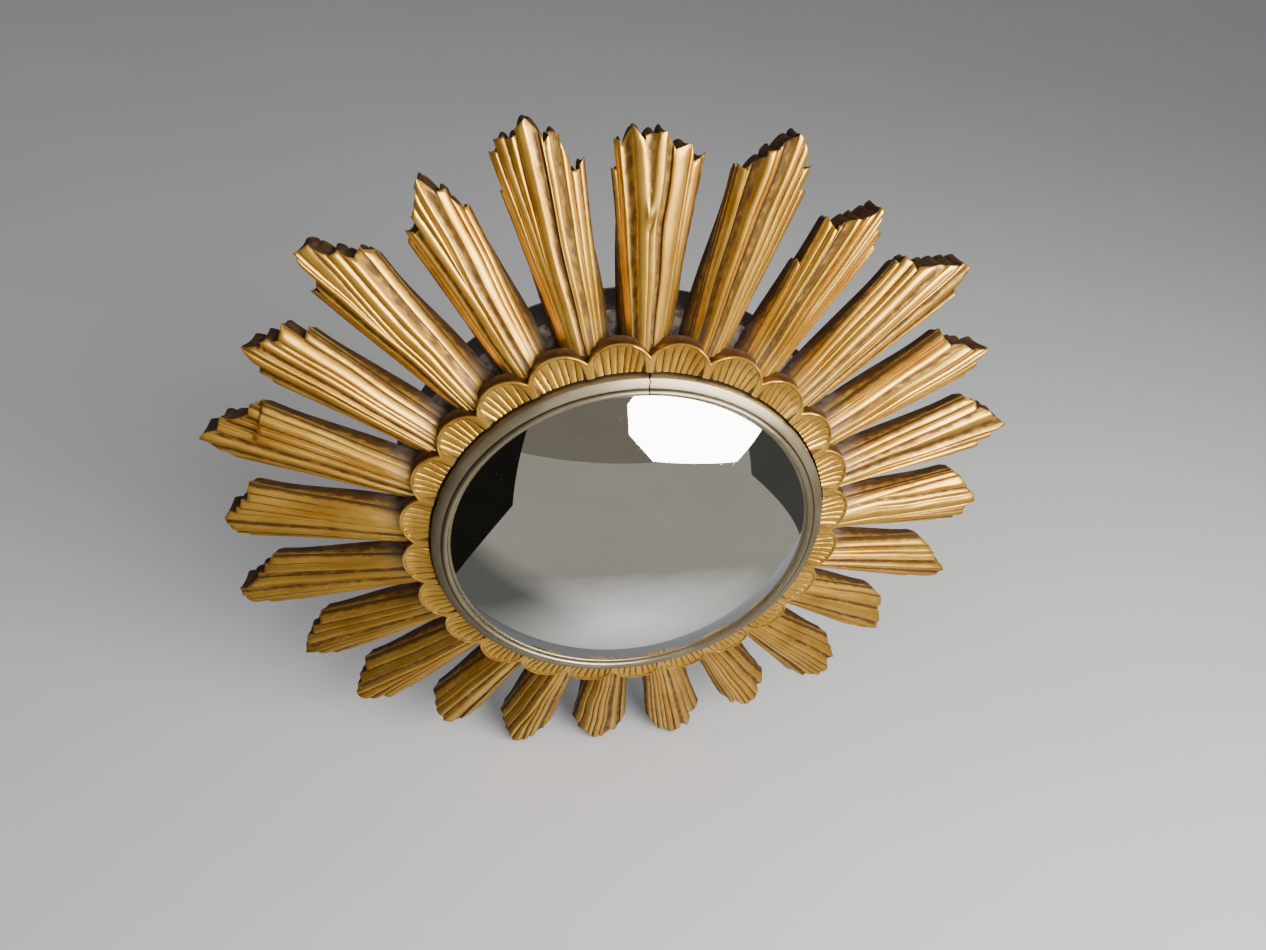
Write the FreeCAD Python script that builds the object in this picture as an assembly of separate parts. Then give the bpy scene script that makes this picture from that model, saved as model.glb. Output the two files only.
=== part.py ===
import FreeCAD, Part
import math
import os

# Convex sunburst wall mirror: a convex glass in a split bezel, a scalloped collar and 24 carved rays.
# The wall is the plane y = 0, the front of the mirror faces -Y, and +Z is up. All sizes are in mm.

# Driving dimensions
RAY_COUNT = 24
STEP_DEG = 360.0 / RAY_COUNT

CUSP_PLANE = -62.0        # front of the collar at the cusps between its lobes
GLASS_SPHERE_R = 218.0    # front of the glass
GLASS_APEX = -113.0
GLASS_THICK = 3.0
GLASS_R = 137.0
BEDDING_THICK = 0.8
GLASS_SIGHT_R = 131.3     # radius of the glass that shows inside the bezel
SEAT_R = 137.6            # bore round the glass's edge, in the hub and in the bezel
BEDDING_R = (129.0, 136.6)

HUB_OUTER_R = 172.0
HUB_INNER_R = 126.0
HUB_SEGMENTS = 8          # glued end to end, with three rays on each
SPIGOT_R = 140.5          # the hub's forward rim, which carries the glass and the bezel
SPIGOT_FRONT = -62.0

BEZEL_R = 142.8
BEZEL_SKIRT = -57.0
BEZEL_GAP = 0.3
BEZEL_SPLIT = 0.9
BEZEL_LIP = 1.4           # height of the sight edge, where the bead starts
BEZEL_BEAD = [(133.3, -71.9), (135.3, -70.4)]   # crest and end of the bead
BEZEL_FACE = [(135.8, -69.6), (136.4, -70.0), (142.2, -67.2), (BEZEL_R, -66.6)]   # groove, then the band

CUSP_R = 155.0
LOBE_R = 165.0
COLLAR_INNER_R = 144.3
COLLAR_SEAT = -50.0       # underside of the collar, on the lapped roots of the rays
COLLAR_INNER_FRONT = -64.0
COLLAR_OUTER_FRONT = -60.6
COLLAR_GAP = 0.15         # clearance between the collar and the shoulders cut in the rays
LOBE_RIM = 1.7            # raised edge left round each scooped lobe
LOBE_SCOOP = 1.4
LOBE_WEB = 2.6            # how much narrower the hollow is than the lobe, for the flat web between lobes

RAY_ROOT = 141.0          # inner end of a ray, from the mirror's axis
RAY_BACK_AT = (165.0, -31.0)
RAY_SLOPE = 0.184         # the rays lean back towards the wall
RAY_THICK = 22.0
RAY_CROWN = 5.0           # how much thinner a ray is at its edges
RAY_BLANK_END = 306.0
NARROW_AT = 165.0         # the root width is taken at this radius
WIDE_AT = 270.0           # the reeds' places are taken at this radius
ROOT_HALF = 15.0
GROOVE_SHARE = 0.24       # groove depth as a share of the narrower reed beside it
GROOVE_MAX = 2.4
CUT_MARGIN = 6.0          # how far a cutting shape runs past what it cuts

DOWEL_R = 3.0
DOWEL_AT = 153.0
DOWEL_Y = (-42.0, -24.0)
RAY_SCREW_AT = 163.0
RAY_SCREW_TIP = -44.0
RAY_SCREW_R = 2.0
RAY_SCREW_HEAD_R = 4.0

BOARD_THICK = 3.0         # the board covers the whole back, over the ray screws
BOARD_R = 171.5
BOARD_SCREW_COUNT = 8
BOARD_SCREW_AT = 131.5
BOARD_SCREW_R = 1.2
BOARD_SCREW_HEAD_R = 2.6
BOARD_SCREW_TIP = -16.0

HANGER_PIVOT = (-4.6, 152.0)    # y and z of the D-ring's pivot
HANGER_CHANNEL = (24.0, 7.0, 136.0)         # width, depth, low z; it runs out through the ring's edge
HANGER_WINDOW_TOP = 168.2                   # high z of the window over it in the backing board
HANGER_PLATE = (12.0, 1.0, 139.0)           # width, thickness, low z
KNUCKLE_R = 2.4
KNUCKLE_WIDTH = 9.0
WIRE_R = 1.2
WIRE_CLEAR = 0.06
RING_HALF = 7.3
RING_CORNER = 2.2
RING_SIDE = 5.0
HANGER_SCREW_Z = (142.5, 147.0)
HANGER_SCREW_R = 1.5
HANGER_SCREW_HEAD_R = 2.6
HANGER_SCREW_LENGTH = 13.0
SLOT_WIDTH = 1.0
SLOT_DEPTH = 0.7

# The reeds of each ray, clockwise from the top ray, from its left side to its right with its tip up.
# The first number is the left side's place at WIDE_AT. Each reed then has its right edge's place there,
# and the radii where its left and right edges end.
RAYS = [
    (-30, [(-27, 262, 262), (-23, 279, 279), (-16, 276, 288), (-9, 289, 281), (-3, 284, 285),
           (2, 286, 287), (8, 286, 277), (17, 277, 280), (20, 279, 272), (28, 269, 272)]),
    (-25, [(-18, 269, 270), (-10, 271, 281), (-4, 284, 287), (4, 288, 297), (9, 299, 297),
           (15, 295, 289), (21, 280, 282), (27, 268, 267)]),
    (-27, [(-24, 228, 227), (-19, 260, 258), (-15, 258, 257), (-8, 260, 269), (-4, 270, 271),
           (2, 272, 280), (6, 283, 282), (9, 279, 272), (16, 271, 270), (19, 261, 261), (23, 260, 259)]),
    (-30, [(-27, 262, 263), (-21, 269, 270), (-16, 270, 269), (-9, 272, 281), (-3, 281, 286),
           (4, 287, 293), (11, 295, 298), (15, 296, 286), (23, 283, 281), (28, 270, 270)]),
    (-27, [(-20, 261, 261), (-15, 262, 263), (-9, 264, 273), (0, 273, 278), (5, 280, 287),
           (9, 288, 280), (17, 277, 278), (24, 269, 269)]),
    (-28, [(-22, 266, 274), (-17, 274, 274), (-12, 276, 283), (-6, 284, 288), (4, 289, 298),
           (8, 299, 290), (14, 288, 286), (20, 277, 278), (25, 279, 279), (27, 262, 261)]),
    (-28, [(-22, 260, 269), (-14, 269, 275), (-11, 276, 275), (-4, 277, 285), (5, 285, 289),
           (8, 287, 282), (13, 282, 282), (19, 283, 283), (26, 279, 280), (28, 265, 263)]),
    (-25, [(-17, 255, 270), (-11, 270, 276), (-5, 277, 281), (1, 281, 292), (7, 293, 300),
           (14, 300, 298), (19, 297, 283), (25, 272, 268)]),
    (-27, [(-21, 248, 262), (-14, 263, 266), (-8, 265, 269), (3, 270, 282), (9, 282, 287),
           (15, 288, 285), (19, 282, 268), (25, 264, 258)]),
    (-27, [(-20, 258, 268), (-14, 272, 284), (-9, 286, 281), (-3, 281, 290), (2, 293, 298),
           (6, 297, 294), (11, 296, 298), (15, 296, 288), (21, 288, 292), (24, 288, 272), (28, 274, 272)]),
    (-25, [(-17, 254, 268), (-12, 268, 264), (-6, 270, 281), (1, 282, 285), (6, 286, 289),
           (11, 289, 283), (14, 280, 276), (19, 279, 282), (25, 272, 262)]),
    (-25, [(-19, 268, 277), (-13, 276, 272), (-8, 285, 295), (-3, 294, 289), (2, 292, 299),
           (8, 300, 299), (12, 296, 288), (17, 290, 294), (21, 292, 282), (27, 281, 268)]),
    (-25, [(-20, 262, 268), (-14, 270, 282), (-9, 281, 277), (-3, 280, 289), (0, 288, 286),
           (6, 288, 290), (11, 288, 280), (19, 277, 277), (27, 268, 262)]),
    (-26, [(-20, 262, 272), (-13, 280, 285), (-8, 286, 293), (-3, 294, 298), (3, 299, 298),
           (8, 296, 290), (14, 288, 282), (20, 276, 273), (26, 268, 262)]),
    (-25, [(-21, 258, 264), (-15, 273, 276), (-9, 280, 285), (0, 286, 287), (5, 286, 280),
           (11, 281, 278), (17, 274, 270), (25, 266, 260)]),
    (-27, [(-23, 264, 267), (-16, 286, 288), (-11, 287, 285), (-6, 290, 297), (1, 298, 301),
           (6, 300, 296), (12, 294, 288), (18, 282, 279), (27, 270, 264)]),
    (-26, [(-20, 258, 262), (-13, 274, 276), (-8, 277, 283), (-2, 284, 290), (5, 289, 284),
           (11, 282, 278), (17, 272, 268), (26, 262, 256)]),
    (-25, [(-20, 264, 266), (-15, 283, 284), (-9, 296, 299), (-4, 300, 297), (3, 300, 299),
           (9, 294, 284), (15, 282, 279), (20, 274, 272), (26, 270, 264)]),
    (-24, [(-18, 274, 274), (-12, 283, 283), (-6, 284, 285), (0, 287, 288), (5, 288, 284),
           (9, 279, 278), (15, 276, 274), (20, 270, 269), (26, 270, 268)]),
    (-24, [(-19, 277, 280), (-16, 280, 282), (-10, 288, 299), (-4, 301, 298), (2, 297, 286),
           (8, 290, 290), (15, 286, 274), (22, 273, 273), (27, 272, 266)]),
    (-24, [(-19, 264, 265), (-12, 274, 276), (-6, 280, 291), (0, 290, 284), (4, 281, 282),
           (8, 283, 280), (12, 277, 273), (20, 274, 276), (27, 260, 261)]),
    (-23, [(-18, 273, 273), (-15, 270, 271), (-10, 274, 278), (-7, 290, 295), (1, 297, 295),
           (5, 292, 284), (12, 283, 281), (17, 278, 271), (23, 272, 273), (28, 271, 264)]),
    (-24, [(-20, 258, 262), (-15, 266, 264), (-10, 263, 264), (-5, 273, 277), (0, 278, 284),
           (4, 287, 291), (10, 290, 277), (15, 279, 277), (19, 272, 263), (23, 262, 261)]),
    (-28, [(-26, 262, 262), (-21, 285, 285), (-15, 292, 293), (-10, 291, 293), (-3, 296, 301),
           (4, 301, 289), (7, 286, 289), (13, 291, 288), (17, 284, 272), (22, 266, 265), (26, 267, 270)]),
]

# Derived places
SPHERE_CENTRE_Y = GLASS_APEX + GLASS_SPHERE_R
GLASS_BACK_R = GLASS_SPHERE_R - GLASS_THICK
CHANNEL_FLOOR = -HANGER_CHANNEL[1]
PLATE_BACK = CHANNEL_FLOOR + HANGER_PLATE[1]

AXIS = FreeCAD.Vector(0, 1, 0)
ORIGIN = FreeCAD.Vector(0, 0, 0)


def vec(x, y, z=0.0):
    return FreeCAD.Vector(x, y, z)


def sphere_y(radius, r):
    """Depth of a sphere about the glass's centre of curvature, at distance r from the mirror's axis."""
    return SPHERE_CENTRE_Y - math.sqrt(radius * radius - r * r)


def ray_back(u):
    return RAY_BACK_AT[1] + RAY_SLOPE * (u - RAY_BACK_AT[0])


def revolved(edges):
    """The solid that a closed profile in the XY plane sweeps round the mirror's axis."""
    return Part.Face(Part.Wire(edges)).revolve(ORIGIN, AXIS, 360)


def polygon_edges(points):
    closed = points + points[:1]
    return [Part.LineSegment(vec(*a), vec(*b)).toShape() for a, b in zip(closed, closed[1:])]


def arc_edge(start, middle, end):
    return Part.Arc(start, middle, end).toShape()


def sphere_arc(radius, r_from, r_to):
    r_mid = (r_from + r_to) / 2
    return arc_edge(*[vec(r, sphere_y(radius, r)) for r in (r_from, r_mid, r_to)])


def line_edge(a, b):
    return Part.LineSegment(a, b).toShape()


def box(x, y, z):
    """A box from (low, high) pairs along each axis."""
    return Part.makeBox(x[1] - x[0], y[1] - y[0], z[1] - z[0], vec(x[0], y[0], z[0]))


def rod(radius, x, z, y_from, y_to):
    return Part.makeCylinder(radius, y_to - y_from, vec(x, y_from, z), AXIS)


def turned(shape, degrees):
    """A copy turned clockwise about the mirror's axis, as seen from the front."""
    copy = shape.copy()
    copy.rotate(ORIGIN, AXIS, degrees)
    return copy


def countersunk_screw(x, z, head_y, tip_y, shank_r, head_r):
    """A slotted wood screw driven towards -Y, its flat head flush with the plane y = head_y."""
    cone_depth = head_r - shank_r
    cone = Part.makeCone(shank_r, head_r, cone_depth, vec(x, head_y - cone_depth, z), AXIS)
    shank = rod(shank_r, x, z, tip_y, head_y - cone_depth)
    return cone.fuse(shank).removeSplitter()


def slot_cutter(x, z, head_y, head_r):
    half = SLOT_WIDTH / 2
    return box((x - head_r, x + head_r), (head_y - SLOT_DEPTH, head_y + 1), (z - half, z + half))


def make_glass():
    front_edge = sphere_y(GLASS_SPHERE_R, GLASS_R)
    back_edge = sphere_y(GLASS_BACK_R, GLASS_R)
    return revolved([
        sphere_arc(GLASS_SPHERE_R, 0, GLASS_R),
        line_edge(vec(GLASS_R, front_edge), vec(GLASS_R, back_edge)),
        sphere_arc(GLASS_BACK_R, GLASS_R, 0),
        line_edge(vec(0, GLASS_APEX + GLASS_THICK), vec(0, GLASS_APEX)),
    ])


def make_bedding():
    inner, outer = BEDDING_R
    inner_y = sphere_y(GLASS_BACK_R, inner)
    outer_y = sphere_y(GLASS_BACK_R, outer)
    return revolved([
        sphere_arc(GLASS_BACK_R, inner, outer),
        line_edge(vec(outer, outer_y), vec(outer, outer_y + BEDDING_THICK)),
        line_edge(vec(outer, outer_y + BEDDING_THICK), vec(inner, inner_y + BEDDING_THICK)),
        line_edge(vec(inner, inner_y + BEDDING_THICK), vec(inner, inner_y)),
    ])


def make_bezel():
    """The split ring that holds the glass in: a bead at the sight edge, a groove and a flat outer band."""
    over_glass = sphere_y(GLASS_SPHERE_R, GLASS_SIGHT_R) - BEZEL_GAP
    over_edge = sphere_y(GLASS_SPHERE_R, SEAT_R) - BEZEL_GAP
    lip = vec(GLASS_SIGHT_R, over_glass - BEZEL_LIP)
    crest, bead_end = [vec(*point) for point in BEZEL_BEAD]
    rest = [bead_end] + [vec(*point) for point in BEZEL_FACE] + [
        vec(BEZEL_R, BEZEL_SKIRT), vec(SPIGOT_R + BEZEL_GAP, BEZEL_SKIRT),
        vec(SPIGOT_R + BEZEL_GAP, SPIGOT_FRONT), vec(SEAT_R, SPIGOT_FRONT), vec(SEAT_R, over_edge),
        vec(GLASS_SIGHT_R, over_glass), lip,
    ]
    edges = [arc_edge(lip, crest, bead_end)]
    edges += [line_edge(a, b) for a, b in zip(rest, rest[1:])]
    half = BEZEL_SPLIT / 2
    split = box((-half, half), (crest.y - CUT_MARGIN, BEZEL_SKIRT + CUT_MARGIN),
                (GLASS_SIGHT_R - CUT_MARGIN, BEZEL_R + CUT_MARGIN))
    return revolved(edges).cut(split)


def make_hub_blank():
    """The ring that carries the rest: a spigot and a sloping seat in front, and a channel behind."""
    inner, outer = BEDDING_R
    seat = [(r, sphere_y(GLASS_BACK_R, r) + BEDDING_THICK) for r in (SEAT_R, outer, inner, HUB_INNER_R)]
    front = [(HUB_OUTER_R, ray_back(HUB_OUTER_R)), (SPIGOT_R, ray_back(SPIGOT_R)),
             (SPIGOT_R, SPIGOT_FRONT), (SEAT_R, SPIGOT_FRONT)]
    rear = [(HUB_INNER_R, -BOARD_THICK), (HUB_OUTER_R, -BOARD_THICK)]
    ring = revolved(polygon_edges(front + seat + rear))
    return ring.cut(hanger_channel(HUB_OUTER_R + CUT_MARGIN))


def hanger_channel(top):
    width, depth, low = HANGER_CHANNEL
    return box((-width / 2, width / 2), (-depth, CUT_MARGIN), (low, top))


def hub_wedge():
    """The share of the hub that belongs to its top segment, as a wedge from the axis."""
    half = math.radians(180.0 / HUB_SEGMENTS)
    reach = (HUB_OUTER_R + CUT_MARGIN) / math.cos(half)
    side, top = reach * math.sin(half), reach * math.cos(half)
    corners = [vec(0, CUT_MARGIN, 0), vec(-side, CUT_MARGIN, top), vec(side, CUT_MARGIN, top)]
    face = Part.Face(Part.makePolygon(corners + corners[:1]))
    return face.extrude(vec(0, GLASS_APEX, 0))


def lobed_outline(grow):
    """The collar's outline in the XZ plane: one arc a lobe, with cusps on the rays' centre lines."""
    edges = []
    for k in range(RAY_COUNT):
        turns = [math.radians(STEP_DEG * (k + part)) for part in (0, 0.5, 1)]
        radii = (CUSP_R + grow, LOBE_R + grow, CUSP_R + grow)
        points = [vec(r * math.sin(t), 0, r * math.cos(t)) for r, t in zip(radii, turns)]
        edges.append(arc_edge(*points))
    return Part.Face(Part.Wire(edges))


def lobed_prism(grow, y_from, y_to):
    face = lobed_outline(grow)
    face.translate(vec(0, y_from, 0))
    return face.extrude(vec(0, y_to - y_from, 0))


def make_collar():
    """A conical ring cut to the lobed outline, each lobe hollowed to leave a raised rim on its outer edge."""
    ring = revolved(polygon_edges([
        (COLLAR_INNER_R, COLLAR_SEAT), (LOBE_R + 1, COLLAR_SEAT),
        (LOBE_R + 1, COLLAR_OUTER_FRONT), (CUSP_R, CUSP_PLANE), (COLLAR_INNER_R, COLLAR_INNER_FRONT),
    ]))
    hollowed = ring.copy()
    hollowed.translate(vec(0, LOBE_SCOOP, 0))
    half_step = math.radians(STEP_DEG / 2)
    side = CUSP_R * math.sin(half_step)
    rise = LOBE_R - CUSP_R * math.cos(half_step)
    lobe_arc_r = (side * side + rise * rise) / (2 * rise)
    disc = rod(lobe_arc_r - LOBE_RIM - LOBE_WEB, 0, LOBE_R - lobe_arc_r - LOBE_WEB,
               COLLAR_INNER_FRONT - 1, COLLAR_SEAT)
    discs = Part.makeCompound([turned(disc, STEP_DEG * (k + 0.5)) for k in range(RAY_COUNT)])
    scoops = ring.cut(hollowed).common(discs)
    return ring.common(lobed_prism(0, COLLAR_INNER_FRONT - 1, COLLAR_SEAT + 1)).cut(scoops)


def reed_place(place, left, right, u):
    """Sideways place at radius u of a line that is at place at WIDE_AT, as the ray fans out from its root."""
    share = (place - left) / (right - left)
    root = ROOT_HALF * (2 * share - 1)
    return root + (place - root) * (u - NARROW_AT) / (WIDE_AT - NARROW_AT)


def ray_section(left, edges, u):
    """The cross-section of a ray at radius u: a flat back and one convex reed between each two edges."""
    right = edges[-1]
    places = [left] + edges
    widths = [b - a for a, b in zip(places, places[1:])]

    def front(place, sunk):
        share = (place - left) / (right - left)
        thick = RAY_THICK - RAY_CROWN * (2 * share - 1) ** 2 - sunk
        return vec(reed_place(place, left, right, u), ray_back(u) - thick, u)

    beside = [widths[:1]] + [list(pair) for pair in zip(widths, widths[1:])] + [widths[-1:]]
    depths = [min(GROOVE_SHARE * min(w), GROOVE_MAX) for w in beside]
    grooves = [front(place, depth) for place, depth in zip(places, depths)]
    crests = [front((a + b) / 2, 0) for a, b in zip(places, places[1:])]
    reeds = [arc_edge(*trio) for trio in zip(grooves, crests, grooves[1:])]
    low = [vec(reed_place(place, left, right, u), ray_back(u), u) for place in (right, left)]
    sides = [line_edge(grooves[-1], low[0]), line_edge(low[0], low[1]), line_edge(low[1], grooves[0])]
    return Part.Wire(reeds + sides)


def ray_plan(left, reeds):
    """The stepped outline of a ray, seen from the front, as a prism through its whole depth."""
    right = reeds[-1][0]
    starts = [left] + [reed[0] for reed in reeds[:-1]]
    points = [(left - CUT_MARGIN, RAY_ROOT), (left - CUT_MARGIN, reeds[0][1])]
    for start, (end, u_start, u_end) in zip(starts, reeds):
        points.append((reed_place(start, left, right, u_start), u_start))
        points.append((reed_place(end, left, right, u_end), u_end))
    points += [(right + CUT_MARGIN, reeds[-1][2]), (right + CUT_MARGIN, RAY_ROOT)]
    corners = [vec(v, CUT_MARGIN, u) for v, u in points]
    kept = [c for c, last in zip(corners, corners[-1:] + corners) if not c.isEqual(last, 1e-6)]
    face = Part.Face(Part.makePolygon(kept + kept[:1]))
    return face.extrude(vec(0, GLASS_APEX, 0))


def make_ray(left, reeds, collar_seat):
    edges = [reed[0] for reed in reeds]
    sections = [ray_section(left, edges, u) for u in (RAY_ROOT, RAY_BLANK_END)]
    blank = Part.makeLoft(sections, True, True)
    return blank.common(ray_plan(left, reeds)).cut(collar_seat)


def make_board():
    board = rod(BOARD_R, 0, 0, -BOARD_THICK, 0)
    return board.cut(hanger_channel(HANGER_WINDOW_TOP))


def make_ring_path():
    """The D-ring's centre line in the pivot's plane, hanging down from its straight bar."""
    y, z = HANGER_PIVOT
    inner = RING_HALF - RING_CORNER
    diagonal = RING_CORNER * math.sqrt(0.5)

    def at(x, drop):
        return vec(x, y, z - drop)

    def corner(side):
        return at(side * (inner + diagonal), RING_CORNER - diagonal)

    return Part.Wire([
        line_edge(at(-inner, 0), at(inner, 0)),
        arc_edge(at(inner, 0), corner(1), at(RING_HALF, RING_CORNER)),
        line_edge(at(RING_HALF, RING_CORNER), at(RING_HALF, RING_SIDE)),
        arc_edge(at(RING_HALF, RING_SIDE), at(0, RING_SIDE + RING_HALF), at(-RING_HALF, RING_SIDE)),
        line_edge(at(-RING_HALF, RING_SIDE), at(-RING_HALF, RING_CORNER)),
        arc_edge(at(-RING_HALF, RING_CORNER), corner(-1), at(-inner, 0)),
    ])


def make_hanger_ring():
    y, z = HANGER_PIVOT
    start = RING_CORNER - RING_HALF
    section = Part.Wire(Part.makeCircle(WIRE_R, vec(start, y, z), vec(1, 0, 0)))
    return make_ring_path().makePipeShell([section], True, True)


def make_hanger_plate():
    y, z = HANGER_PIVOT
    width, _, low = HANGER_PLATE
    plate = box((-width / 2, width / 2), (CHANNEL_FLOOR, PLATE_BACK), (low, z))
    half = KNUCKLE_WIDTH / 2
    knuckle = Part.makeCylinder(KNUCKLE_R, KNUCKLE_WIDTH, vec(-half, y, z), vec(1, 0, 0))
    bore = Part.makeCylinder(WIRE_R + WIRE_CLEAR, KNUCKLE_WIDTH, vec(-half, y, z), vec(1, 0, 0))
    return plate.fuse(knuckle).removeSplitter().cut(bore)


def build():
    parts = {}
    ray_screws = []
    ray_slots = []
    for k in range(RAY_COUNT):
        head_y = CHANNEL_FLOOR if k == 0 else -BOARD_THICK    # the top ray's screw is in the channel
        screw = countersunk_screw(0, RAY_SCREW_AT, head_y, RAY_SCREW_TIP, RAY_SCREW_R, RAY_SCREW_HEAD_R)
        ray_screws.append(turned(screw, STEP_DEG * k))
        ray_slots.append(turned(slot_cutter(0, RAY_SCREW_AT, head_y, RAY_SCREW_HEAD_R), STEP_DEG * k))
    dowels = [turned(rod(DOWEL_R, 0, DOWEL_AT, *DOWEL_Y), STEP_DEG * k) for k in range(RAY_COUNT)]
    collar_seat = lobed_prism(COLLAR_GAP, GLASS_APEX, COLLAR_SEAT)

    for k, (left, reeds) in enumerate(RAYS):
        blank = make_ray(left, reeds, collar_seat)
        ray = turned(blank, STEP_DEG * k)
        parts["ray_%02d" % (k + 1)] = ray.cut(ray_screws[k]).cut(dowels[k])

    step = 360.0 / BOARD_SCREW_COUNT
    screw = countersunk_screw(0, BOARD_SCREW_AT, 0, BOARD_SCREW_TIP, BOARD_SCREW_R, BOARD_SCREW_HEAD_R)
    slot = slot_cutter(0, BOARD_SCREW_AT, 0, BOARD_SCREW_HEAD_R)
    board_screws = [turned(screw, step * k) for k in range(BOARD_SCREW_COUNT)]
    board_slots = [turned(slot, step * k) for k in range(BOARD_SCREW_COUNT)]
    hanger_tip = PLATE_BACK - HANGER_SCREW_LENGTH
    hanger_screws = [countersunk_screw(0, z, PLATE_BACK, hanger_tip, HANGER_SCREW_R, HANGER_SCREW_HEAD_R)
                     for z in HANGER_SCREW_Z]
    hanger_slots = [slot_cutter(0, z, PLATE_BACK, HANGER_SCREW_HEAD_R) for z in HANGER_SCREW_Z]
    in_hub = Part.makeCompound(ray_screws + dowels + board_screws + hanger_screws)

    hub = make_hub_blank().cut(in_hub)
    for k in range(HUB_SEGMENTS):
        parts["hub_segment_%d" % (k + 1)] = hub.common(turned(hub_wedge(), 360.0 / HUB_SEGMENTS * k))
    parts["scalloped_collar"] = make_collar()
    parts["bezel_ring"] = make_bezel()
    parts["mirror_glass"] = make_glass()
    parts["glass_bedding"] = make_bedding()
    parts["backing_board"] = make_board().cut(Part.makeCompound(board_screws))
    parts["backing_screws"] = Part.makeCompound([s.cut(c) for s, c in zip(board_screws, board_slots)])
    parts["ray_screws"] = Part.makeCompound([s.cut(c) for s, c in zip(ray_screws, ray_slots)])
    parts["ray_dowels"] = Part.makeCompound(dowels)
    parts["hanger_plate"] = make_hanger_plate().cut(Part.makeCompound(hanger_screws))
    parts["hanger_ring"] = make_hanger_ring()
    parts["hanger_screws"] = Part.makeCompound([s.cut(c) for s, c in zip(hanger_screws, hanger_slots)])
    return parts


os.makedirs("parts", exist_ok=True)
for name, shape in build().items():
    shape.exportStep("parts/%s.step" % name)
    print(name, "valid", shape.isValid(), "solids", len(shape.Solids), "volume", round(shape.Volume))
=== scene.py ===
import math
import random

import bmesh
import bpy
import numpy as np
from mathutils import Matrix, Vector


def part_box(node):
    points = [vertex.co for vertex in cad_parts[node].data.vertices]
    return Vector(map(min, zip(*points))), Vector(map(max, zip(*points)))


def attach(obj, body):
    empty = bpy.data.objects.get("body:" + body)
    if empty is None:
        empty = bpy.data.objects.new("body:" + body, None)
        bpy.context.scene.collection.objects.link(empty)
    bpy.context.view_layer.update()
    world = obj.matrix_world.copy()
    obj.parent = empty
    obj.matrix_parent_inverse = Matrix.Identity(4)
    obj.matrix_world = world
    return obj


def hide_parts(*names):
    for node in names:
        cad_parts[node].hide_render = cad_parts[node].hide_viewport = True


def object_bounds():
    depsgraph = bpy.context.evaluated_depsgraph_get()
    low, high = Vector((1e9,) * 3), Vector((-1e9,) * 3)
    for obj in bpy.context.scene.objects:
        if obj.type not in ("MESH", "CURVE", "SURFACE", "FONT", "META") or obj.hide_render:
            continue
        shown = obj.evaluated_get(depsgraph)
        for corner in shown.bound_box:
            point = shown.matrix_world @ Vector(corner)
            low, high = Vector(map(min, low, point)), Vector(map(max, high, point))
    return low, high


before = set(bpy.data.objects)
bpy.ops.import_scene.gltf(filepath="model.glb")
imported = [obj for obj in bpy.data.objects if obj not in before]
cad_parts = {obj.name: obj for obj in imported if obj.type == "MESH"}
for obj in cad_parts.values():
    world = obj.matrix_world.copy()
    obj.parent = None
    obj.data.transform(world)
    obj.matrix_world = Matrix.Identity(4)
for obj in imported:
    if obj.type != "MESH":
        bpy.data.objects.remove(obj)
cad_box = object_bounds()

# The carved parts are worked out in millimetres about the mirror's axis, and made in metres.
MM = 0.001
STEP = math.radians(15)     # from one ray, or one lobe of the collar, to the next

# Rays. The places match the CAD source's.
RAY_ROOT = 141.0
ROOT_AT = 165.0
WIDE_AT = 270.0
ROOT_HALF = 15.0
RAY_BACK = -31.0            # depth of a ray's flat back at ROOT_AT
RAY_SLOPE = 0.184
RAY_THICK = 22.0
RAY_CROWN = 10.5
REED_SHARES = [0, 0.05, 0.1, 0.15, 0.2, 0.3, 0.4, 0.5, 0.6, 0.7, 0.8, 0.85, 0.9, 0.95, 1]
LONG_ROWS = 40              # rows of faces from the root to near the tip
SHARED_ROWS = 9             # from there to where neighbouring reeds part
TIP_ROWS = 6                # and on to each reed's own end
GROOVE_SHARE = 0.36
GROOVE_MAX = 3.1
EDGE_INSET = 0.3            # worn edge between a ray's front and its sides
EDGE_DROP = 0.45
# painted shade along a ray's two long edges
EDGE_SHADE = 0.75
END_WEAR = 0.7              # the reeds are rounded down at their ends, over about this length
END_WEAR_LENGTH = 1.3
FACE_WAVES = 0.07           # unevenness of a ray's front
END_INSET = 0.4             # keeps the worn rims inside the CAD box
SIDE_LEVELS = [0.0, 0.08, 0.2, 0.38, 0.6, 0.8, 1.0]     # shares of the way down a ray's side
TIP_UNDERCUT = 2.6          # how far the end of a reed is cut back behind its rim, and how much more
VALLEY_UNDERCUT = 3.2       # where two reeds meet
FLANK_SWELL = 3.6           # the long sides swell outwards near the root, and are undercut near the tip
FLANK_UNDERCUT = 2.6

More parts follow.
